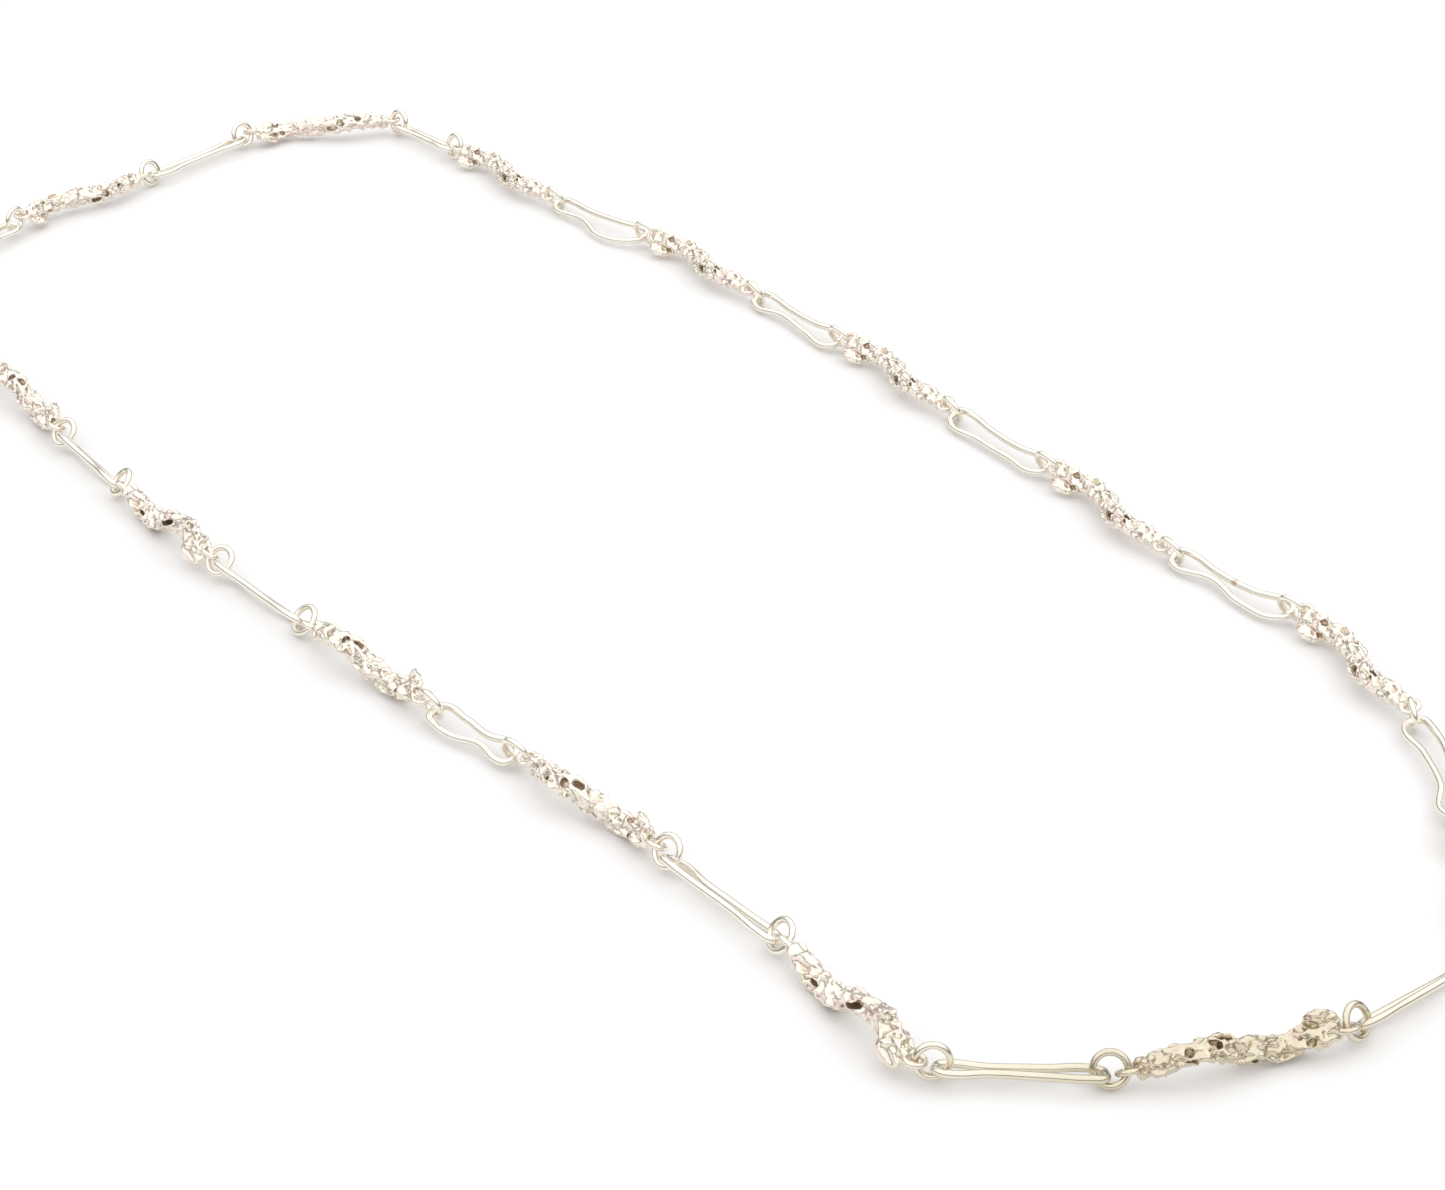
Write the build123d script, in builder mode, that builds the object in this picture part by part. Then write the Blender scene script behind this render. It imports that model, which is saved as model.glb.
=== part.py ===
from build123d import *
from collections import namedtuple
from math import asin, cos, exp, pi, radians, sin, sqrt
import os

# Cast bar, in its own frame: X from first eye to second eye, bent to the +Y side first and then to -Y
eye_spacing = 26.6
eye_radius = 1.2
eye_wire = 0.78
body_length = 24.0
body_bend = 1.4
body_end_width = 2.0
body_mid_width = 2.7
body_fullness = 0.6
body_flatness = 0.12
body_twist = 200
rows_along = 32
points_around = 14

# Leaf beside the first eye, set out from the eye's hole
leaf_width = 3.6
leaf_thickness = 1.3
leaf_offset = Vector(2.8, -0.4, -1.3)
leaf_normal = Vector(0.35, -0.43, 0.83)

# Wire work
ring_wire = 0.9
ring_radius = 2.0
link_wire = 1.05
link_end_inset = 1.5
ring_reach = 3.9
first_bend = 0.35
second_bend = 0.7
side_bend_radius = 3
end_bend_share = 0.4

# Lift of the whole chain that brings its lowest point onto the surface
lift = 0.095

# Raised strands over the casting: from and to as a share of the body's length and an angle around it
Strand = namedtuple("Strand", "start start_angle end end_angle width height")
strands = [
    Strand(0.02, 60, 0.36, 180, 0.7, 0.5),
    Strand(0.10, 240, 0.46, 350, 0.8, 0.5),
    Strand(0.26, 0, 0.62, 130, 0.7, 0.5),
    Strand(0.38, 170, 0.72, 270, 0.8, 0.5),
    Strand(0.50, 290, 0.84, 400, 0.7, 0.5),
    Strand(0.62, 90, 0.98, 200, 0.7, 0.5),
]

# Lumps and, with a height below nothing, blind pits
Bump = namedtuple("Bump", "along angle width height")
bumps = [
    Bump(0.20, 10, 1.1, 0.5),
    Bump(0.33, 215, 1.2, 0.4),
    Bump(0.48, 60, 1.1, 0.4),
    Bump(0.60, 330, 1.2, 0.5),
    Bump(0.72, 150, 1.1, 0.4),
    Bump(0.86, 20, 1.0, 0.5),
    Bump(0.14, 150, 0.7, -0.4),
    Bump(0.26, 75, 0.8, -0.5),
    Bump(0.36, 120, 0.8, -0.5),
    Bump(0.46, 350, 0.8, -0.5),
    Bump(0.55, 200, 0.9, -0.5),
    Bump(0.66, 60, 0.9, -0.5),
    Bump(0.80, 240, 0.8, -0.4),
    Bump(0.88, 130, 0.7, -0.4),
]

# Slits right through the casting, long way along it
Slit = namedtuple("Slit", "along angle length width")
slits = [
    Slit(0.42, 90, 1.8, 0.7),
    Slit(0.58, 40, 2.0, 0.8),
    Slit(0.76, 110, 1.5, 0.7),
]

# Cast bars as they lie, clockwise from the far left. Turns are about the bar's length, from its left side upwards:
# roll is the whole bar's, and each eye turn is where that eye's hole points
Bar = namedtuple("Bar", "x y heading roll start_height end_height start_eye_turn end_eye_turn")
bars = [
    Bar(-149.0, -13.5, 101, -10, 3.0, 2.3, 90, 60),
    Bar(-153.5, 38.0, 68, -30, 2.6, 2.5, 60, 85),
    Bar(-114.5, 53.5, 4, -15, 2.9, 2.3, 80, 120),
    Bar(-61.0, 59.0, 2, -15, 2.9, 2.3, 120, 120),
    Bar(-7.5, 59.0, -3, -15, 2.9, 2.3, 120, 120),
    Bar(46.5, 56.0, -6, -15, 2.9, 2.3, 120, 120),
    Bar(99.5, 53.5, -13, -15, 2.9, 2.5, 120, 110),
    Bar(146.0, 27.5, -38, -70, 3.0, 2.5, 105, 110),
    Bar(153.5, -20.0, -111, -115, 3.2, 2.3, 110, 125),
    Bar(120.5, -50.0, 175, 100, 3.1, 2.9, 100, 130),
    Bar(67.5, -50.5, 184, -135, 2.8, 2.5, 120, 80),
    Bar(21.0, -56.0, 184, -110, 3.2, 2.3, 80, 130),
    Bar(-30.5, -59.0, 180, 95, 3.1, 2.9, 130, 125),
    Bar(-80.5, -57.5, 175, -115, 3.2, 2.5, 120, 110),
    Bar(-126.0, -51.5, 150, -110, 3.2, 2.6, 110, 95),
]

# Wire link after each bar: where its open face points, turned as above, its ends' heights, and how far its left
# and right wires stand from its middle line at its start, first bend, second bend and end
Link = namedtuple("Link", "turn start_height end_height left right")
links = [
    Link(78, 1.7, 1.9, (1.5, 1.1, 1.1, 1.6), (1.5, 1.2, 1.1, 1.6)),
    Link(70, 1.8, 1.9, (1.4, 1.2, 1.1, 1.5), (1.6, 1.2, 1.3, 1.5)),
    Link(105, 1.6, 2.0, (1.4, 0.8, 1.0, 1.4), (1.4, 1.7, 3.9, 2.2)),
    Link(115, 1.6, 1.9, (1.4, 0.8, 0.7, 1.4), (1.5, 0.9, 1.7, 2.0)),
    Link(112, 1.7, 1.9, (1.4, 0.7, 0.6, 1.4), (1.8, 1.9, 1.9, 1.7)),
    Link(112, 1.6, 1.9, (1.6, 0.6, 0.4, 1.4), (1.5, 0.8, 2.4, 1.9)),
    Link(100, 1.8, 2.0, (1.8, 2.3, 1.4, 1.5), (1.5, 0.6, 0.3, 1.5)),
    Link(133, 1.8, 2.2, (1.6, 1.3, 1.2, 1.5), (1.6, 1.3, 1.3, 1.6)),
    Link(105, 1.8, 2.0, (1.6, 1.2, 0.9, 1.4), (1.6, 1.3, 1.0, 1.5)),
    Link(121, 1.9, 2.0, (1.5, 1.1, 1.3, 1.6), (1.5, 1.3, 1.1, 1.5)),
    Link(65, 1.9, 2.1, (1.8, 1.0, 1.9, 1.6), (1.3, 0.7, 1.2, 1.4)),
    Link(138, 1.8, 2.1, (1.6, 1.2, 1.2, 1.5), (1.6, 1.2, 1.2, 1.5)),
    Link(139, 1.8, 2.1, (1.6, 1.1, 1.3, 1.5), (1.6, 1.3, 1.1, 1.5)),
    Link(110, 1.8, 2.2, (1.6, 1.2, 1.2, 1.5), (1.6, 1.1, 1.3, 1.5)),
    Link(90, 1.8, 2.0, (1.6, 1.2, 1.2, 1.5), (1.6, 1.2, 1.1, 1.5)),
]


# Direction across a run, turned from its left side upwards
def turned_axis(run, turn):
    run = run.normalized()
    left = Vector(0, 0, 1).cross(run).normalized()
    up = run.cross(left)
    return left * cos(radians(turn)) + up * sin(radians(turn))


# Middle of the body's section at a share of its length
def body_middle(share):
    return Vector(body_length * (share - 0.5), body_bend * sin(2 * pi * share), 0)


def body_width(share):
    return body_end_width + (body_mid_width - body_end_width) * sin(pi * share) ** body_fullness


# Section plane square to the bent body, its Y turned round the body by an angle
def body_plane(share, angle):
    slope = 2 * pi * body_bend / body_length * cos(2 * pi * share)
    run = Vector(1, slope, 0).normalized()
    side = Vector(0, 0, 1).cross(run)
    across = side * cos(radians(angle)) + Vector(0, 0, 1) * sin(radians(angle))
    return Plane(origin=body_middle(share), x_dir=across, z_dir=run)


# How far an angle lies from another, in degrees either way
def angle_apart(angle, other):
    return (angle - other + 180) % 360 - 180


# Skin's distance from the body's middle, with its strands, lumps and pits
def skin_radius(share, angle):
    radius = body_width(share) / 2
    relief = radius * body_flatness * cos(radians(2 * angle - body_twist * share))
    for strand in strands:
        reach = (share - strand.start) / (strand.end - strand.start)
        if 0 < reach < 1:
            strand_angle = strand.start_angle + (strand.end_angle - strand.start_angle) * reach
            aside = radians(angle_apart(angle, strand_angle)) * radius
            relief += strand.height * sqrt(sin(pi * reach)) * exp(-((aside / strand.width) ** 2))
    for bump in bumps:
        ahead = (share - bump.along) * body_length
        aside = radians(angle_apart(angle, bump.angle)) * radius
        relief += bump.height * exp(-(ahead**2 + aside**2) / bump.width**2)
    return radius + relief


def skin_point(row, column):
    share = row / (rows_along - 1)
    angle = 360 * column / points_around
    section = body_plane(share, angle)
    return section.origin + section.x_dir * skin_radius(share, angle)


def triangle(first, second, third):
    return Face(Wire.make_polygon([first, second, third]))


# Body's skin in small flat faces, closed at both ends
def body_solid():
    rows = [[skin_point(row, column) for column in range(points_around)] for row in range(rows_along)]
    faces = []
    for column in range(points_around):
        after = (column + 1) % points_around
        for here, there in zip(rows, rows[1:]):
            faces.append(triangle(here[column], here[after], there[after]))
            faces.append(triangle(here[column], there[after], there[column]))
        faces.append(triangle(body_middle(0), rows[0][after], rows[0][column]))
        faces.append(triangle(body_middle(1), rows[-1][column], rows[-1][after]))
    return Solid(Shell(faces))


# Body and leaf, the same in every bar
with BuildPart() as casting:
    add(body_solid())

    with Locations(Plane(origin=Vector(-eye_spacing / 2, 0, 0) + leaf_offset, z_dir=leaf_normal)):
        Cylinder(leaf_width / 2, leaf_thickness)

    for slit in slits:
        section = body_plane(slit.along, slit.angle)
        with BuildSketch(Plane(origin=section.origin, x_dir=section.z_dir, z_dir=section.x_dir)):
            SlotOverall(slit.length, slit.width)
        extrude(amount=body_mid_width, both=True, mode=Mode.SUBTRACT)


# A bar's run from first eye to second eye
def bar_run(bar):
    climb = asin((bar.end_height - bar.start_height) / eye_spacing)
    level = cos(climb)
    return Vector(level * cos(radians(bar.heading)), level * sin(radians(bar.heading)), sin(climb))


def bar_middle(bar):
    return Vector(bar.x, bar.y, (bar.start_height + bar.end_height) / 2 + lift)


def bar_start(bar):
    return bar_middle(bar) - bar_run(bar) * (eye_spacing / 2)


def bar_end(bar):
    return bar_middle(bar) + bar_run(bar) * (eye_spacing / 2)


def bar_plane(bar):
    return Plane(origin=bar_middle(bar), x_dir=bar_run(bar), z_dir=turned_axis(bar_run(bar), bar.roll + 90))


# Point inside a link's end where its jump ring passes, ring_reach from the bar's eye
def hold_point(eye, other_eye, height):
    level = Vector(other_eye.X - eye.X, other_eye.Y - eye.Y, 0).normalized()
    drop = height + lift - eye.Z
    return eye + level * sqrt(ring_reach**2 - drop**2) + Vector(0, 0, drop)


# Plane of the ring through a bar's eye and a link's end, leaning half way between the two holes' directions
def ring_plane(eye, hole_axis, hold, link_axis):
    run = (hold - eye).normalized()
    eye_side = (hole_axis - run * hole_axis.dot(run)).normalized()
    link_side = (link_axis - run * link_axis.dot(run)).normalized()
    if eye_side.dot(link_side) < 0:
        link_side = link_side * -1
    side = (eye_side + link_side).normalized()
    if side.Z < 0:
        side = side * -1
    rise = sqrt(ring_radius**2 - (ring_reach / 2) ** 2)
    return Plane(origin=(eye + hold) * 0.5 + side * rise, x_dir=run, z_dir=run.cross(side))


os.makedirs("parts", exist_ok=True)

for number, bar in enumerate(bars, start=1):
    start_axis = turned_axis(bar_run(bar), bar.start_eye_turn)
    end_axis = turned_axis(bar_run(bar), bar.end_eye_turn)
    with BuildPart() as cast_bar:
        with Locations(bar_plane(bar)):
            add(casting.part)
        with Locations(Plane(origin=bar_start(bar), z_dir=start_axis), Plane(origin=bar_end(bar), z_dir=end_axis)):
            Torus(eye_radius, eye_wire / 2)
    cast_bar.part.label = f"cast_bar_{number:02d}"
    export_step(cast_bar.part, f"parts/cast_bar_{number:02d}.step")

ring_planes = []
for number, link in enumerate(links, start=1):
    before = bars[number - 1]
    after = bars[number % len(bars)]
    start_hold = hold_point(bar_end(before), bar_start(after), link.start_height)
    end_hold = hold_point(bar_start(after), bar_end(before), link.end_height)
    run = end_hold - start_hold
    link_axis = turned_axis(run, link.turn)
    stations = (-link_end_inset, run.length * first_bend, run.length * second_bend, run.length + link_end_inset)
    outline = [(along, aside) for along, aside in zip(stations, link.left)]
    outline += [(along, -aside) for along, aside in zip(reversed(stations), reversed(link.right))]
    start_bend = end_bend_share * (link.left[0] + link.right[0])
    end_bend = end_bend_share * (link.left[-1] + link.right[-1])
    side_bends = [side_bend_radius, side_bend_radius]
    bends = [start_bend, *side_bends, end_bend, end_bend, *side_bends, start_bend]
    with BuildPart() as wire_link:
        with BuildLine(Plane(origin=start_hold, x_dir=run, z_dir=link_axis)) as loop:
            FilletPolyline(*outline, radius=bends, close=True)
        with BuildSketch(Plane(origin=loop.line @ 0, z_dir=loop.line % 0)):
            Circle(link_wire / 2)
        sweep(path=loop.line)
    wire_link.part.label = f"wire_link_{number:02d}"
    export_step(wire_link.part, f"parts/wire_link_{number:02d}.step")
    before_axis = turned_axis(bar_run(before), before.end_eye_turn)
    after_axis = turned_axis(bar_run(after), after.start_eye_turn)
    ring_planes.append(ring_plane(bar_end(before), before_axis, start_hold, link_axis))
    ring_planes.append(ring_plane(bar_start(after), after_axis, end_hold, link_axis))

# Jump rings, half of the chain in each node
half = len(ring_planes) // 2
for name, planes in (("jump_rings_far", ring_planes[:half]), ("jump_rings_near", ring_planes[half:])):
    with BuildPart() as jump_rings:
        with Locations(*planes):
            Torus(ring_radius, ring_wire / 2)
    jump_rings.part.label = name
    export_step(jump_rings.part, f"parts/{name}.step")
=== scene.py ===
import math
import random
import bpy
from mathutils import Matrix, Vector


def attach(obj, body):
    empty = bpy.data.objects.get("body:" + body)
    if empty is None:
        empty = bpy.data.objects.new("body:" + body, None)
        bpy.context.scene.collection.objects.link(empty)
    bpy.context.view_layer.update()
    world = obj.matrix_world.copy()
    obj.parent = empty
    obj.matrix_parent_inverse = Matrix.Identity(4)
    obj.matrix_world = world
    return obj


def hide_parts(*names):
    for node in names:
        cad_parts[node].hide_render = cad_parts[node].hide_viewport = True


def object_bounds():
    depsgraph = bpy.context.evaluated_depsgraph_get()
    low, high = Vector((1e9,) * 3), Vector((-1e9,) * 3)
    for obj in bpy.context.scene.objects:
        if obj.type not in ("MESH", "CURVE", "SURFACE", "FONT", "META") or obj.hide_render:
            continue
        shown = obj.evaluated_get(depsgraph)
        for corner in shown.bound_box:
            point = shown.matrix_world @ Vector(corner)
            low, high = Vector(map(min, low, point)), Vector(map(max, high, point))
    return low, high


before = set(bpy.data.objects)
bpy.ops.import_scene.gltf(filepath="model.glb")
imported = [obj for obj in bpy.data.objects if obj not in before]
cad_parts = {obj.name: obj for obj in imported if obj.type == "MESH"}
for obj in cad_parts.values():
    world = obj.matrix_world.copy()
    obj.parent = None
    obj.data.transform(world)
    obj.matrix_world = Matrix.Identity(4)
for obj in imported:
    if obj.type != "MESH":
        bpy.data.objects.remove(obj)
cadLow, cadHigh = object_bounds()
mm = 0.001


# Colours are written as sRGB hex and turned to linear here
def linear(hexColour):
    parts = [int(hexColour[i:i + 2], 16) / 255 for i in (1, 3, 5)]
    return [p / 12.92 if p <= 0.04045 else ((p + 0.055) / 1.055) ** 2.4 for p in parts] + [1.0]


def addNode(material, kind, settings=None, inputs=None, links=None):
    node = material.node_tree.nodes.new(kind)
    for name, value in (settings or {}).items():
        setattr(node, name, value)
    for name, value in (inputs or {}).items():
        node.inputs[name].default_value = value
    for name, source in (links or {}).items():
        material.node_tree.links.new(source, node.inputs[name])
    return node


def deselectAll():
    if bpy.context.object and bpy.context.object.mode != "OBJECT":
        bpy.ops.object.mode_set(mode="OBJECT")
    bpy.ops.object.select_all(action="DESELECT")


def pick(*objects):
    deselectAll()
    for piece in objects:
        piece.select_set(True)
    bpy.context.view_layer.objects.active = objects[0]


def joinPieces(pieces, name):
    pick(*pieces)
    bpy.ops.object.join()
    pieces[0].name = name
    return pieces[0]


def applyModifiers(piece):
    pick(piece)
    for modifier in list(piece.modifiers):
        bpy.ops.object.modifier_apply(modifier=modifier.name)


def voxelRemesh(piece, size):
    modifier = piece.modifiers.new("fuse", "REMESH")
    modifier.mode = "VOXEL"
    modifier.voxel_size = size
    applyModifiers(piece)


def copyPiece(piece, name):
    copy = piece.copy()
    copy.data = piece.data.copy()
    copy.name = name
    bpy.context.scene.collection.objects.link(copy)
    return copy


# Camera where the photograph was taken from
camera = {
    "place": (0.3625, -0.2441, 0.2331),
    "pitch": 60.384,
    "turn": 54.0,
    "lens": 82.55,
    "sensor": 36.0,
    "clipStart": 0.01,
}
cameraData = bpy.data.cameras.new("camera")
cameraData.lens = camera["lens"]
cameraData.sensor_width = camera["sensor"]
cameraData.clip_start = camera["clipStart"]
cameraObject = bpy.data.objects.new("camera", cameraData)
bpy.context.scene.collection.objects.link(cameraObject)
cameraObject.location = camera["place"]
cameraObject.rotation_euler = (math.radians(camera["pitch"]), 0, math.radians(camera["turn"]))
bpy.context.scene.camera = cameraObject
print("camera placed")


# Cast bar, modelled in millimetres in its own frame and then laid where the CAD bar lies
castBar = {
    "eyeSpacing": 26.6,
    "length": 24.0,
    "bend": 1.4,
    "endWidth": 2.1,
    "midWidth": 2.75,
    "fullness": 0.6,
    "stations": 30,
    "sides": 20,
    "voxel": 0.15,
    "smoothing": 0.5,
    "smoothSteps": 2,
    "reliefHeight": 0.3,
    "slitReach": 2.4,
    "stretch": 1.7,
    "lumpSize": 1.9,
    "lumpDepth": 1.3,
    "ridgeSize": 1.6,
    "ridgeDepth": 0.5,
    "ridgeMiddle": 0.8,
    "cellSize": 1.15,
    "cellDepth": 1.1,
    "cellMiddle": 0.12,
    "grainSize": 0.45,
    "grainDepth": 0.1,
}

# Thick strands: from share, at angle, to share, at angle, wire, how far they stand out
castStrands = [
    (0.02, 60, 0.36, 180, 1.3, 0.40),
    (0.10, 240, 0.46, 350, 1.4, 0.40),
    (0.26, 0, 0.62, 130, 1.3, 0.42),
    (0.38, 170, 0.72, 270, 1.4, 0.42),
    (0.50, 290, 0.84, 400, 1.3, 0.42),
    (0.62, 90, 0.98, 200, 1.3, 0.40),
]

# Lumps: share along, angle, width, how far they stand out
castLumps = [
    (0.20, 10, 2.0, 0.45),
    (0.33, 215, 2.1, 0.40),
    (0.48, 60, 2.0, 0.40),
    (0.60, 330, 2.1, 0.45),
    (0.72, 150, 1.9, 0.40),
    (0.86, 20, 1.8, 0.45),
    (0.93, 180, 1.5, 0.35),
    (0.08, 120, 1.6, 0.35),
]

# Fine tendrils that run over the skin, strewn by a seeded draw
castTendrils = {
    "seed": 11,
    "count": 26,
    "start": (0.02, 0.80),
    "lastEnd": 0.98,
    "wire": (0.45, 0.85),
    "reach": (0.10, 0.26),
    "twist": (-110, 110),
    "out": (0.16, 0.34),
}

# Pits: share along, angle, width, depth, stretch, turned on the skin
castPits = [
    (0.13, 132, 1.0, 0.9, 1.4, 20),
    (0.40, 148, 0.55, 1.0, 2.4, -55),
    (0.51, 135, 0.6, 0.5, 1.9, 10),
    (0.60, 130, 0.8, 0.6, 2.6, 0),
    (0.64, 184, 1.5, 1.5, 1.3, -25),
    (0.50, 226, 0.55, 1.0, 4.0, 0),
    (0.72, 136, 0.55, 0.8, 1.9, 20),
    (0.77, 162, 1.15, 1.1, 1.0, 0),
    (0.75, 214, 0.5, 0.8, 2.6, 0),
    (0.84, 142, 0.6, 0.4, 1.2, 0),
    (0.30, 190, 0.8, 0.5, 1.8, 30),
    (0.90, 170, 0.6, 0.7, 1.6, 0),
    (0.10, 300, 0.9, 0.8, 1.2, 0),
    (0.18, 344, 0.9, 0.6, 1.6, 0),
    (0.38, 286, 1.1, 1.1, 1.4, 20),
    (0.53, 308, 1.0, 1.2, 1.2, 0),
    (0.67, 306, 2.2, 0.8, 1.0, 0),
    (0.82, 282, 0.9, 1.0, 1.3, 30),
    (0.85, 320, 0.7, 0.7, 1.6, 0),
    (0.28, 315, 0.7, 0.6, 2.0, 15),
    (0.22, 60, 1.0, 0.8, 1.5, 0),
    (0.36, 30, 0.9, 0.8, 1.6, 0),
    (0.66, 60, 1.0, 0.8, 1.3, 0),
    (0.89, 70, 0.7, 0.6, 1.1, 0),
]

# Small pits, strewn by a seeded draw
castPocks = {
    "seed": 7,
    "count": 24,
    "along": (0.04, 0.97),
    "width": (0.42, 0.85),
    "depth": (0.35, 0.75),
    "stretch": (1.0, 2.2),
    "turn": (-60, 60),
}

# Slits right through: share along, angle, length, width
castSlits = [
    (0.42, 90, 1.8, 0.7),
    (0.58, 40, 2.0, 0.8),
    (0.76, 110, 1.5, 0.7),
]

# Leaf beside the first eye: petals give turn, half length and half width
leaf = {
    "length": 4.3,
    "width": 3.3,
    "thickness": 1.3,
    "offset": (2.8, -0.4, -1.3),
    "normal": (0.35, -0.43, 0.83),
    "petals": [(-30, 1.7, 0.40), (-8, 1.9, 0.44), (15, 1.85, 0.40), (36, 1.6, 0.38)],
    "root": 1.9,
    "rise": 0.42,
    "veinSize": 1.1,
    "veinDepth": 0.3,
}
eye = {"radius": 1.2, "wire": 0.78}

# Where each bar lies: x, y, heading, roll, start height, end height, start eye turn, end eye turn
barPlaces = [
    (-149.0, -13.5, 101, -10, 3.0, 2.3, 90, 60),
    (-153.5, 38.0, 68, -30, 2.6, 2.5, 60, 85),
    (-114.5, 53.5, 4, -15, 2.9, 2.3, 80, 120),
    (-61.0, 59.0, 2, -15, 2.9, 2.3, 120, 120),
    (-7.5, 59.0, -3, -15, 2.9, 2.3, 120, 120),
    (46.5, 56.0, -6, -15, 2.9, 2.3, 120, 120),
    (99.5, 53.5, -13, -15, 2.9, 2.5, 120, 110),
    (146.0, 27.5, -38, -70, 3.0, 2.5, 105, 110),
    (153.5, -20.0, -111, -115, 3.2, 2.3, 110, 125),
    (120.5, -50.0, 175, 100, 3.1, 2.9, 100, 130),
    (67.5, -50.5, 184, -135, 2.8, 2.5, 120, 80),
    (21.0, -56.0, 184, -110, 3.2, 2.3, 80, 130),
    (-30.5, -59.0, 180, 95, 3.1, 2.9, 130, 125),
    (-80.5, -57.5, 175, -115, 3.2, 2.5, 120, 110),
    (-126.0, -51.5, 150, -110, 3.2, 2.6, 110, 95),
]
lift = 0.095  # the whole chain's, so that its lowest point rests on the table


def bodyMiddle(share):
    return Vector((castBar["length"] * (share - 0.5), castBar["bend"] * math.sin(2 * math.pi * share), 0))


def bodyWidth(share):
    share = min(max(share, 0.0), 1.0)
    swell = math.sin(math.pi * share) ** castBar["fullness"]
    return castBar["endWidth"] + (castBar["midWidth"] - castBar["endWidth"]) * swell


def bodyRun(share):
    slope = 2 * math.pi * castBar["bend"] / castBar["length"] * math.cos(2 * math.pi * share)
    return Vector((1, slope, 0)).normalized()


def bodySide(share, angle):
    run = bodyRun(share)
    side = Vector((0, 0, 1)).cross(run)
    return side * math.cos(math.radians(angle)) + Vector((0, 0, 1)) * math.sin(math.radians(angle))


def skinPoint(share, angle, out=0.0):
    return bodyMiddle(share) + bodySide(share, angle) * (bodyWidth(share) / 2 + out)


# Core of the casting: a round disc extruded step by step along the S bend, resized and turned at every step
def makeCore():
    deselectAll()
    first = bodyMiddle(0)
    bpy.ops.mesh.primitive_circle_add(
        vertices=castBar["sides"], radius=castBar["endWidth"] / 2, fill_type="NGON", location=first,
        rotation=(0, math.pi / 2, math.atan2(bodyRun(0).y, bodyRun(0).x)))
    core = bpy.context.object
    core.name = "castCore"
    bpy.ops.object.transform_apply(location=True, rotation=True, scale=True)
    bpy.ops.object.mode_set(mode="EDIT")
    bpy.ops.mesh.select_all(action="SELECT")
    for step in range(1, castBar["stations"] + 1):
        before = (step - 1) / castBar["stations"]
        share = step / castBar["stations"]
        middle = bodyMiddle(share)
        grow = bodyWidth(share) / bodyWidth(before)
        turn = bodyRun(before).angle(bodyRun(share))
        if bodyRun(before).cross(bodyRun(share)).z > 0:
            turn = -turn
        bpy.ops.mesh.extrude_region_move(TRANSFORM_OT_translate={"value": middle - bodyMiddle(before)})
        bpy.ops.transform.resize(value=(grow, grow, grow), center_override=middle)
        bpy.ops.transform.rotate(value=turn, orient_axis="Z", orient_type="GLOBAL", center_override=middle)
    bpy.ops.mesh.select_all(action="SELECT")
    bpy.ops.mesh.normals_make_consistent(inside=False)
    bpy.ops.object.mode_set(mode="OBJECT")
    return core


# A raised strand: a smooth path over the skin with a round section, thinner at both ends
def makeStrand(startShare, startAngle, endShare, endAngle, wire, out):
    deselectAll()
    bpy.ops.curve.primitive_nurbs_path_add()
    strand = bpy.context.object
    curve = strand.data
    points = curve.splines[0].points
    for index, point in enumerate(points):
        reach = index / (len(points) - 1)
        share = startShare + (endShare - startShare) * reach
        angle = startAngle + (endAngle - startAngle) * reach
        swell = 0.5 + 0.5 * math.sin(math.pi * reach)
        place = skinPoint(share, angle, (out - 0.5 * wire) * swell)
        point.co = (place.x, place.y, place.z, 1)
        point.radius = swell
    curve.splines[0].use_endpoint_u = True
    curve.bevel_depth = wire / 2
    curve.bevel_resolution = 2
    curve.use_fill_caps = True
    bpy.ops.object.convert(target="MESH")
    return bpy.context.object


def makeTendrils():
    draw = random.Random(castTendrils["seed"])
    tendrils = []
    for _ in range(castTendrils["count"]):
        start = draw.uniform(*castTendrils["start"])
        angle = draw.uniform(0, 360)
        end = min(start + draw.uniform(*castTendrils["reach"]), castTendrils["lastEnd"])
        twist = draw.uniform(*castTendrils["twist"])
        wire = draw.uniform(*castTendrils["wire"])
        out = draw.uniform(*castTendrils["out"])
        tendrils.append(makeStrand(start, angle, end, angle + twist, wire, out))
    return tendrils


# A ball on the skin, stretched along the body and turned on the skin
def makeBall(share, angle, width, out, stretch=1.0, turn=0.0):
    deselectAll()
    bpy.ops.mesh.primitive_ico_sphere_add(subdivisions=3, radius=width / 2)
    ball = bpy.context.object
    ball.scale = (stretch, 1, 1)
    bpy.ops.object.transform_apply(location=True, rotation=True, scale=True)
    run = bodyRun(share)
    outward = bodySide(share, angle)
    frameMatrix = Matrix((run, outward.cross(run), outward)).transposed().to_4x4()
    place = Matrix.Translation(skinPoint(share, angle, out))
    ball.data.transform(place @ frameMatrix @ Matrix.Rotation(math.radians(turn), 4, "Z"))
    return ball


# How far out a pit's cutter is centred, so that the pit reaches its depth below the relief
def pitCentre(width, depth):
    return width / 2 - depth + castBar["reliefHeight"]


def makePocks():
    draw = random.Random(castPocks["seed"])
    pocks = []
    for _ in range(castPocks["count"]):
        share = draw.uniform(*castPocks["along"])
        angle = draw.uniform(0, 360)
        width = draw.uniform(*castPocks["width"])
        depth = draw.uniform(*castPocks["depth"])
        stretch = draw.uniform(*castPocks["stretch"])
        turn = draw.uniform(*castPocks["turn"])
        pocks.append(makeBall(share, angle, width, pitCentre(width, depth), stretch, turn))
    return pocks


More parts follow.
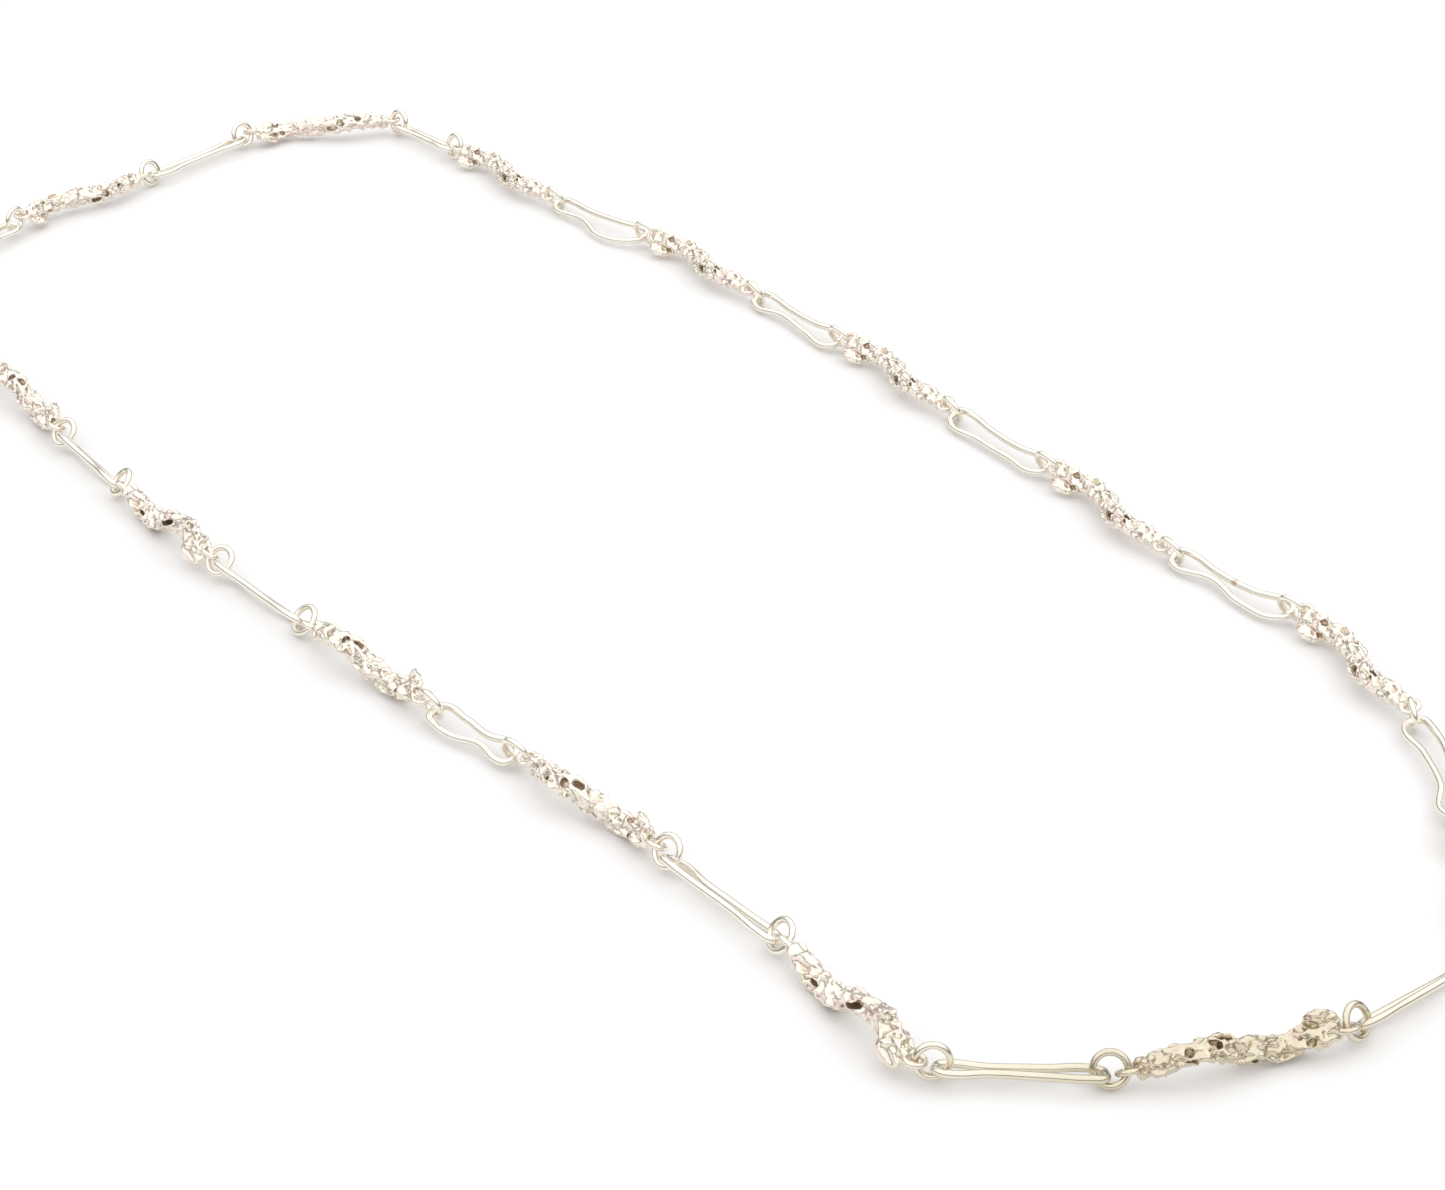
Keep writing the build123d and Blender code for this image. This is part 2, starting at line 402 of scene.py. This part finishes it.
# A cutter right through the body: a long cylinder pressed to an oval
def makeSlit(share, angle, length, width):
    deselectAll()
    bpy.ops.mesh.primitive_cylinder_add(
        vertices=24, radius=width / 2, depth=castBar["slitReach"] * castBar["midWidth"])
    slit = bpy.context.object
    slit.scale = (length / width, 1, 1)
    bpy.ops.object.transform_apply(location=True, rotation=True, scale=True)
    run = bodyRun(share)
    outward = bodySide(share, angle)
    frameMatrix = Matrix((run, outward.cross(run), outward)).transposed().to_4x4()
    slit.data.transform(Matrix.Translation(bodyMiddle(share)) @ frameMatrix)
    return slit


# Leaf beside the first eye: a flat lobe with petals fanned over both faces, run together at the body
def makeLeaf():
    lobes = [(0, 0, 0, leaf["length"] / 2, leaf["width"] / 2, leaf["thickness"] / 2)]
    for face in (1, -1):
        for turn, length, width in leaf["petals"]:
            lobes.append((face * turn, leaf["root"], face * leaf["rise"], length, width, 0.5 * width))
    pieces = []
    for turn, root, rise, length, width, thick in lobes:
        deselectAll()
        bpy.ops.mesh.primitive_ico_sphere_add(subdivisions=3, radius=1)
        lobe = bpy.context.object
        lobe.scale = (length, width, thick)
        bpy.ops.object.transform_apply(location=True, rotation=True, scale=True)
        swing = Matrix.Rotation(math.radians(turn), 4, "Z")
        back = Matrix.Translation((-length if root else 0, 0, 0))  # a petal hangs back from its root
        lobe.data.transform(Matrix.Translation((root, 0, rise)) @ swing @ back)
        pieces.append(lobe)
    fan = joinPieces(pieces, "castLeaf")
    normal = Vector(leaf["normal"]).normalized()
    along = (Vector((1, 0, 0)) - normal * normal.x).normalized()
    turned = Matrix((along, normal.cross(along), normal)).transposed().to_4x4()
    place = Vector((-castBar["eyeSpacing"] / 2, 0, 0)) + Vector(leaf["offset"])
    fan.data.transform(Matrix.Translation(place) @ turned)
    voxelRemesh(fan, castBar["voxel"])
    veins = makeTexture("veins", "MUSGRAVE", leaf["veinSize"], {"musgrave_type": "RIDGED_MULTIFRACTAL"})
    addDisplace(fan, veins, leaf["veinDepth"], castBar["ridgeMiddle"])
    applyModifiers(fan)
    return fan


def makeTexture(name, kind, size, settings=None):
    texture = bpy.data.textures.new(name, kind)
    texture.noise_scale = size
    for setting, value in (settings or {}).items():
        setattr(texture, setting, value)
    return texture


def addDisplace(piece, texture, strength, middle=0.5):
    modifier = piece.modifiers.new(texture.name, "DISPLACE")
    modifier.texture = texture
    modifier.strength = strength
    modifier.mid_level = middle
    modifier.texture_coords = "OBJECT"
    modifier.texture_coords_object = grainGuide


# The skin's crumples run longer along the bar than across it
grainGuide = bpy.data.objects.new("grainGuide", None)
grainGuide.scale = (castBar["stretch"], 1, 1)
bpy.context.scene.collection.objects.link(grainGuide)
bpy.context.view_layer.update()


def makeCasting():
    pieces = [makeCore()]
    pieces += [makeStrand(*row) for row in castStrands]
    pieces += makeTendrils()
    pieces += [makeBall(share, angle, width, out - width / 2) for share, angle, width, out in castLumps]
    casting = joinPieces(pieces, "castMaster")
    voxelRemesh(casting, castBar["voxel"])
    melt = casting.modifiers.new("melt", "SMOOTH")
    melt.factor = castBar["smoothing"]
    melt.iterations = castBar["smoothSteps"]
    addDisplace(casting, makeTexture("lumps", "CLOUDS", castBar["lumpSize"]), castBar["lumpDepth"])
    ridges = makeTexture("ridges", "MUSGRAVE", castBar["ridgeSize"], {"musgrave_type": "RIDGED_MULTIFRACTAL"})
    addDisplace(casting, ridges, castBar["ridgeDepth"], castBar["ridgeMiddle"])
    cells = makeTexture("cells", "VORONOI", castBar["cellSize"], {"weight_1": -1.0, "weight_2": 1.0})
    addDisplace(casting, cells, -castBar["cellDepth"], castBar["cellMiddle"])
    addDisplace(casting, makeTexture("grain", "CLOUDS", castBar["grainSize"]), castBar["grainDepth"])
    applyModifiers(casting)
    cutters = []
    for share, angle, width, depth, stretch, turn in castPits:
        cutters.append(makeBall(share, angle, width, pitCentre(width, depth), stretch, turn))
    cutters += makePocks()
    cutters += [makeSlit(*row) for row in castSlits]
    cutter = joinPieces(cutters, "castCutter")
    cut = casting.modifiers.new("pits", "BOOLEAN")
    cut.operation = "DIFFERENCE"
    cut.solver = "EXACT"
    cut.use_self = True
    cut.object = cutter
    applyModifiers(casting)
    bpy.data.objects.remove(cutter)
    return joinPieces([casting, makeLeaf()], "castMaster")


# Direction across a run, turned from its left side upwards
def turnedAxis(run, turn):
    run = run.normalized()
    left = Vector((0, 0, 1)).cross(run).normalized()
    up = run.cross(left)
    return left * math.cos(math.radians(turn)) + up * math.sin(math.radians(turn))


def barRun(row):
    _, _, heading, _, startHeight, endHeight, _, _ = row
    level = math.radians(heading)
    climb = math.asin((endHeight - startHeight) / castBar["eyeSpacing"])
    return Vector((math.cos(climb) * math.cos(level), math.cos(climb) * math.sin(level), math.sin(climb)))


# Middle of a bar's eye: side is -1 for the start and 1 for the end
def barEye(row, side):
    x, y, _, _, startHeight, endHeight, _, _ = row
    middle = Vector((x, y, (startHeight + endHeight) / 2 + lift))
    return middle + barRun(row) * (side * castBar["eyeSpacing"] / 2)


# Direction in which a bar's eye is open
def eyeAxis(row, side):
    turn = row[-2] if side < 0 else row[-1]
    return turnedAxis(barRun(row), turn)


# Puts a mesh modelled at the origin in millimetres where it lies, in metres
def layPiece(piece, place, along, upright):
    turned = Matrix((along, upright.cross(along), upright)).transposed().to_4x4()
    piece.data.transform(Matrix.Diagonal((mm, mm, mm, 1)) @ Matrix.Translation(place) @ turned)


# Rests a piece on the table and keeps its outermost points inside the CAD's box
def keepInBox(piece):
    for vertex in piece.data.vertices:
        vertex.co = [min(max(vertex.co[i], cadLow[i]), cadHigh[i]) for i in range(3)]


# An eye round its hole
def makeEye(row, side):
    deselectAll()
    bpy.ops.mesh.primitive_torus_add(
        major_radius=eye["radius"], minor_radius=eye["wire"] / 2, major_segments=36, minor_segments=14)
    ring = bpy.context.object
    bpy.ops.object.transform_apply(location=True, rotation=True, scale=True)
    layPiece(ring, barEye(row, side), barRun(row), eyeAxis(row, side))
    return ring


# A bar: the casting turned by its roll, with its two eyes fused on
def makeBar(number, row, casting):
    roll = row[3]
    body = copyPiece(casting, "body")
    middle = (barEye(row, -1) + barEye(row, 1)) / 2
    layPiece(body, middle, barRun(row), turnedAxis(barRun(row), roll + 90))
    bar = joinPieces([body, makeEye(row, -1), makeEye(row, 1)], f"castBar{number:02d}")
    voxelRemesh(bar, castBar["voxel"] * mm)
    smooth = bar.modifiers.new("tumbled", "SMOOTH")
    smooth.factor = castBar["smoothing"]
    smooth.iterations = castBar["smoothSteps"]
    applyModifiers(bar)
    keepInBox(bar)
    bpy.ops.object.shade_smooth()
    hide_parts(f"cast_bar_{number:02d}")
    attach(bar, "root")
    return bar


casting = makeCasting()
print("casting modelled", len(casting.data.vertices))
castBars = [makeBar(number, row, casting) for number, row in enumerate(barPlaces, start=1)]
bpy.data.objects.remove(casting)
bpy.data.objects.remove(grainGuide)
print("cast bars laid", len(castBars))


# Wire links between the bars and the round jump rings that hold them
wireWork = {
    "linkWire": 1.05,
    "endInset": 1.5,
    "ringWire": 0.9,
    "ringRadius": 2.0,
    "ringReach": 3.9,
    "firstBend": 0.35,
    "secondBend": 0.7,
    "corner": (0.12, 0.14),
    "shoulder": (0.45, 0.97),
    "turnBack": (0.2, 0.08),
    "handBend": 0.06,
    "seed": 4,
}

# Links: turn, start height, end height, then how far the left and right wires stand from the middle line
linkShapes = [
    (78, 1.7, 1.9, (1.5, 1.1, 1.1, 1.6), (1.5, 1.2, 1.1, 1.6)),
    (70, 1.8, 1.9, (1.4, 1.2, 1.1, 1.5), (1.6, 1.2, 1.3, 1.5)),
    (105, 1.6, 2.0, (1.4, 0.8, 1.0, 1.4), (1.4, 1.7, 3.9, 2.2)),
    (115, 1.6, 1.9, (1.4, 0.8, 0.7, 1.4), (1.5, 0.9, 1.7, 2.0)),
    (112, 1.7, 1.9, (1.4, 0.7, 0.6, 1.4), (1.8, 1.9, 1.9, 1.7)),
    (112, 1.6, 1.9, (1.6, 0.6, 0.4, 1.4), (1.5, 0.8, 2.4, 1.9)),
    (100, 1.8, 2.0, (1.8, 2.3, 1.4, 1.5), (1.5, 0.6, 0.3, 1.5)),
    (133, 1.8, 2.2, (1.6, 1.3, 1.2, 1.5), (1.6, 1.3, 1.3, 1.6)),
    (105, 1.8, 2.0, (1.6, 1.2, 0.9, 1.4), (1.6, 1.3, 1.0, 1.5)),
    (121, 1.9, 2.0, (1.5, 1.1, 1.3, 1.6), (1.5, 1.3, 1.1, 1.5)),
    (65, 1.9, 2.1, (1.8, 1.0, 1.9, 1.6), (1.3, 0.7, 1.2, 1.4)),
    (138, 1.8, 2.1, (1.6, 1.2, 1.2, 1.5), (1.6, 1.2, 1.2, 1.5)),
    (139, 1.8, 2.1, (1.6, 1.1, 1.3, 1.5), (1.6, 1.3, 1.1, 1.5)),
    (110, 1.8, 2.2, (1.6, 1.2, 1.2, 1.5), (1.6, 1.1, 1.3, 1.5)),
    (90, 1.8, 2.0, (1.6, 1.2, 1.2, 1.5), (1.6, 1.2, 1.1, 1.5)),
]
handDraw = random.Random(wireWork["seed"])  # each link's small bends out of its plane, link after link


# Point inside a link's end where its jump ring passes
def holdPoint(eyePoint, otherEye, height):
    level = Vector((otherEye.x - eyePoint.x, otherEye.y - eyePoint.y, 0)).normalized()
    drop = height + lift - eyePoint.z
    return eyePoint + level * math.sqrt(wireWork["ringReach"] ** 2 - drop ** 2) + Vector((0, 0, drop))


# A link: a circle of wire pulled long, with tight round ends and two hand bends in each side
def makeLink(number, startHold, endHold, shape):
    turn, _, _, left, right = shape
    run = endHold - startHold
    inset = wireWork["endInset"]
    startWidth = left[0] + right[0]
    endWidth = left[3] + right[3]
    firstBend = run.length * wireWork["firstBend"]
    secondBend = run.length * wireWork["secondBend"]
    farEnd = run.length + inset
    cornerAlong, cornerAside = wireWork["corner"]
    shoulderAlong, shoulderAside = wireWork["shoulder"]
    backAlong, backAside = wireWork["turnBack"]
    deselectAll()
    bpy.ops.curve.primitive_bezier_circle_add(radius=1.0)
    wire = bpy.context.object
    bpy.ops.object.mode_set(mode="EDIT")
    bpy.ops.curve.select_all(action="SELECT")
    bpy.ops.curve.subdivide(number_cuts=2)
    bpy.ops.curve.handle_type_set(type="AUTOMATIC")
    bpy.ops.object.mode_set(mode="OBJECT")
    outline = [
        (-inset, (left[0] - right[0]) / 2),
        (-inset + cornerAlong * startWidth, left[0] - cornerAside * startWidth),
        (-inset + shoulderAlong * startWidth, left[0] * shoulderAside),
        (firstBend, left[1]), (secondBend, left[2]),
        (farEnd - shoulderAlong * endWidth, left[3] * shoulderAside),
        (farEnd - cornerAlong * endWidth, left[3] - cornerAside * endWidth),
        (farEnd, (left[3] - right[3]) / 2),
        (farEnd - backAlong * endWidth, -right[3] + backAside * endWidth),
        (secondBend, -right[2]), (firstBend, -right[1]),
        (-inset + backAlong * startWidth, -right[0] + backAside * startWidth),
    ]
    loose = wireWork["handBend"]
    for point, (x, y) in zip(wire.data.splines[0].bezier_points, outline):
        point.co = (x, y, handDraw.uniform(-loose, loose))
    wire.data.dimensions = "3D"
    wire.data.resolution_u = 12
    wire.data.bevel_depth = wireWork["linkWire"] / 2
    wire.data.bevel_resolution = 4
    bpy.ops.object.convert(target="MESH")
    link = bpy.context.object
    layPiece(link, startHold, run.normalized(), turnedAxis(run, turn))
    link.name = f"wireLink{number:02d}"
    keepInBox(link)
    bpy.ops.object.shade_smooth()
    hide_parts(f"wire_link_{number:02d}")
    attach(link, "root")
    return link


# A jump ring through an eye and a link's end, leaning half way between the two holes' directions
def makeRing(eyePoint, holeAxis, hold, linkAxis):
    run = (hold - eyePoint).normalized()
    eyeSide = (holeAxis - run * holeAxis.dot(run)).normalized()
    linkSide = (linkAxis - run * linkAxis.dot(run)).normalized()
    if eyeSide.dot(linkSide) < 0:
        linkSide = -linkSide
    side = (eyeSide + linkSide).normalized()
    if side.z < 0:
        side = -side
    rise = math.sqrt(wireWork["ringRadius"] ** 2 - (wireWork["ringReach"] / 2) ** 2)
    deselectAll()
    bpy.ops.mesh.primitive_torus_add(
        major_radius=wireWork["ringRadius"], minor_radius=wireWork["ringWire"] / 2,
        major_segments=48, minor_segments=14)
    ring = bpy.context.object
    bpy.ops.object.transform_apply(location=True, rotation=True, scale=True)
    layPiece(ring, (eyePoint + hold) / 2 + side * rise, run, run.cross(side))
    return ring


wireLinks = []
rings = []
for number, shape in enumerate(linkShapes, start=1):
    before = barPlaces[number - 1]
    after = barPlaces[number % len(barPlaces)]
    startEye = barEye(before, 1)
    endEye = barEye(after, -1)
    turn, startHeight, endHeight, _, _ = shape
    startHold = holdPoint(startEye, endEye, startHeight)
    endHold = holdPoint(endEye, startEye, endHeight)
    linkAxis = turnedAxis(endHold - startHold, turn)
    wireLinks.append(makeLink(number, startHold, endHold, shape))
    rings.append(makeRing(startEye, eyeAxis(before, 1), startHold, linkAxis))
    rings.append(makeRing(endEye, eyeAxis(after, -1), endHold, linkAxis))

half = len(rings) // 2
jumpRings = []
for side, group in (("far", rings[:half]), ("near", rings[half:])):
    joined = joinPieces(group, f"jumpRings{side.capitalize()}")
    bpy.ops.object.shade_smooth()
    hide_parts(f"jump_rings_{side}")
    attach(joined, "root")
    jumpRings.append(joined)
print("wire links and jump rings made", len(wireLinks), len(rings))


# Painted shade, olive, over the loop's near right end, and one brown stain on the sixth link's far wire
nearEndPaintedShade = {"place": (155, -25, 2), "core": 12, "reach": 45, "strength": 0.5, "colour": "#B9AC84"}
wireStain = {"place": (73.7, 55.6, 2.1), "core": 0.2, "reach": 0.75, "strength": 0.7, "colour": "#B4835F"}


# Blend of two colours, each a hex colour or another node's output
def blend(material, factor, first, second):
    node = addNode(material, "ShaderNodeMix", {"data_type": "RGBA"}, None, {"Factor": factor})
    for socket, colour in ((node.inputs[6], first), (node.inputs[7], second)):
        if isinstance(colour, str):
            socket.default_value = linear(colour)
        else:
            material.node_tree.links.new(colour, socket)
    return node.outputs[2]


# Value taken from between two edges onto low to high, and held there past them
def remap(material, value, edges, low=0.0, high=1.0):
    limits = {"From Min": edges[0], "From Max": edges[1], "To Min": low, "To Max": high}
    return addNode(material, "ShaderNodeMapRange", None, limits, {"Value": value}).outputs["Result"]


def addNoise(material, coords, size, detail):
    settings = {"Scale": 1 / (size * mm), "Detail": detail}
    return addNode(material, "ShaderNodeTexNoise", None, settings, {"Vector": coords}).outputs["Fac"]


def addBump(material, height, strength, depth):
    settings = {"Strength": strength, "Distance": depth * mm}
    return addNode(material, "ShaderNodeBump", None, settings, {"Height": height}).outputs["Normal"]


# Colour that fades into a patch's own colour towards its middle
def addPatch(material, coords, clean, patch):
    middle = {1: Vector(patch["place"]) * mm}
    away = addNode(material, "ShaderNodeVectorMath", {"operation": "DISTANCE"}, middle,
                   {0: coords}).outputs["Value"]
    near = remap(material, away, (patch["reach"] * mm, patch["core"] * mm), 0.0, patch["strength"])
    return blend(material, near, clean, patch["colour"])


# Lost-wax cast sterling silver, softly tumbled: bright warm lumps, ochre and brown in the creases and pits
# that is partly tarnish and partly painted shade, and painted shade over the loop's near right end
castLook = {
    "cream": "#F6F1E2",
    "rose": "#F6E7DF",
    "patchSize": 1.6,
    "patchEdges": (0.42, 0.58),
    "ochre": "#B7A27A",
    "creaseEdges": (0.50, 0.44),
    "creaseShare": 0.55,
    # Brown for the hollows: partly tarnish, partly painted shade
    "brownTarnishAndShade": "#97815C",
    "hollowReach": 0.9,
    "hollowEdges": (0.75, 0.3),
    "hollowMetal": 0.4,
    "grainSize": 0.35,
    "grainDepth": 0.08,
    "grainStrength": 0.6,
    "roughness": 0.24,
}


def makeCastSilver():
    material = bpy.data.materials.new("castSilver")
    material.use_nodes = True
    links = material.node_tree.links
    shader = material.node_tree.nodes["Principled BSDF"]
    coords = addNode(material, "ShaderNodeTexCoord").outputs["Object"]
    patches = remap(material, addNoise(material, coords, castLook["patchSize"], 2.0), castLook["patchEdges"])
    colour = blend(material, patches, castLook["cream"], castLook["rose"])
    # Ochre in concave creases, found by pointiness: partly tarnish, partly painted shade
    pointiness = addNode(material, "ShaderNodeNewGeometry").outputs["Pointiness"]
    creases = remap(material, pointiness, castLook["creaseEdges"], 0.0, castLook["creaseShare"])
    colour = blend(material, creases, colour, castLook["ochre"])
    # Brown in the hollows, found by ambient occlusion, with less metal there: partly real tarnish, partly
    # painted shade
    shade = addNode(material, "ShaderNodeAmbientOcclusion", {"samples": 8, "only_local": True},
                    {"Distance": castLook["hollowReach"] * mm}).outputs["AO"]
    hollowTarnishAndShade = remap(material, shade, castLook["hollowEdges"])
    colour = blend(material, hollowTarnishAndShade, colour, castLook["brownTarnishAndShade"])
    grain = addNoise(material, coords, castLook["grainSize"], 2.0)
    bump = addBump(material, grain, castLook["grainStrength"], castLook["grainDepth"])
    # Painted shade over the loop's near right end, laid over the casting's colour
    links.new(addPatch(material, coords, colour, nearEndPaintedShade), shader.inputs["Base Color"])
    links.new(remap(material, hollowTarnishAndShade, (0.0, 1.0), 1.0, castLook["hollowMetal"]), shader.inputs["Metallic"])
    links.new(bump, shader.inputs["Normal"])
    shader.inputs["Roughness"].default_value = castLook["roughness"]
    return material


# Drawn sterling silver wire, bent by hand and polished: even, smooth, faintly yellow
wireLook = {
    "bright": "#FBF6EE",
    "film": "#F0E9DA",
    "filmSize": 4.0,
    "dentSize": 1.2,
    "dentDepth": 0.08,
    "dentStrength": 0.3,
    "roughness": 0.22,
}


def makeWireSilver():
    material = bpy.data.materials.new("wireSilver")
    material.use_nodes = True
    links = material.node_tree.links
    shader = material.node_tree.nodes["Principled BSDF"]
    coords = addNode(material, "ShaderNodeTexCoord").outputs["Object"]
    film = addNoise(material, coords, wireLook["filmSize"], 2.0)
    colour = blend(material, film, wireLook["bright"], wireLook["film"])
    # Painted shade over the loop's near right end, then the real brown stain on the sixth link
    for patch in (nearEndPaintedShade, wireStain):
        colour = addPatch(material, coords, colour, patch)
    dents = addNoise(material, coords, wireLook["dentSize"], 1.0)
    bump = addBump(material, dents, wireLook["dentStrength"], wireLook["dentDepth"])
    links.new(colour, shader.inputs["Base Color"])
    links.new(bump, shader.inputs["Normal"])
    shader.inputs["Metallic"].default_value = 1.0
    shader.inputs["Roughness"].default_value = wireLook["roughness"]
    return material


castSilver = makeCastSilver()
wireSilver = makeWireSilver()
for pieces, material in ((castBars, castSilver), (wireLinks + jumpRings, wireSilver)):
    for piece in pieces:
        piece.data.materials.clear()
        piece.data.materials.append(material)
print("silver applied")


# Plain white table, and a soft light tent that is grey low down so that the wire shows its edges
studio = {
    "floor": "#F5F4F4",
    "floorSize": 6.0,
    "floorRoughness": 0.9,
    "top": 1.3,
    "low": 0.16,
    "lowBlue": 0.85,
    "lowEdge": 0.16,
    "topEdge": 0.52,
    "key": 0.5,
    "keyPlace": (0.25, 0.75, 0.9),
    "keySize": 1.0,
}


def makeStudio():
    deselectAll()
    bpy.ops.mesh.primitive_plane_add(size=studio["floorSize"], location=(0, 0, 0))
    floor = bpy.context.object
    floor.name = "floor"
    paper = bpy.data.materials.new("whiteTable")
    paper.use_nodes = True
    shader = paper.node_tree.nodes["Principled BSDF"]
    shader.inputs["Base Color"].default_value = linear(studio["floor"])
    shader.inputs["Roughness"].default_value = studio["floorRoughness"]
    shader.inputs["Specular IOR Level"].default_value = 0.0
    floor.data.materials.append(paper)
    world = bpy.data.worlds.new("tent")
    world.use_nodes = True
    bpy.context.scene.world = world
    background = world.node_tree.nodes["Background"]
    coords = addNode(world, "ShaderNodeTexCoord").outputs["Generated"]
    height = addNode(world, "ShaderNodeSeparateXYZ", None, None, {"Vector": coords}).outputs["Z"]
    ramp = addNode(world, "ShaderNodeValToRGB", None, None, {"Fac": height})
    low = studio["low"]
    top = studio["top"]
    grey, white = ramp.color_ramp.elements
    grey.position = studio["lowEdge"]
    grey.color = (low, low, low * studio["lowBlue"], 1)
    white.position = studio["topEdge"]
    white.color = (top, top, top, 1)
    world.node_tree.links.new(ramp.outputs["Color"], background.inputs["Color"])
    light = bpy.data.lights.new("softbox", "AREA")
    light.size = studio["keySize"]
    light.energy = studio["key"]
    lamp = bpy.data.objects.new("softbox", light)
    bpy.context.scene.collection.objects.link(lamp)
    lamp.location = studio["keyPlace"]
    lamp.rotation_euler = (-Vector(studio["keyPlace"])).to_track_quat("-Z", "Y").to_euler()


makeStudio()
bpy.context.scene.view_settings.view_transform = "Standard"
print("studio lit")
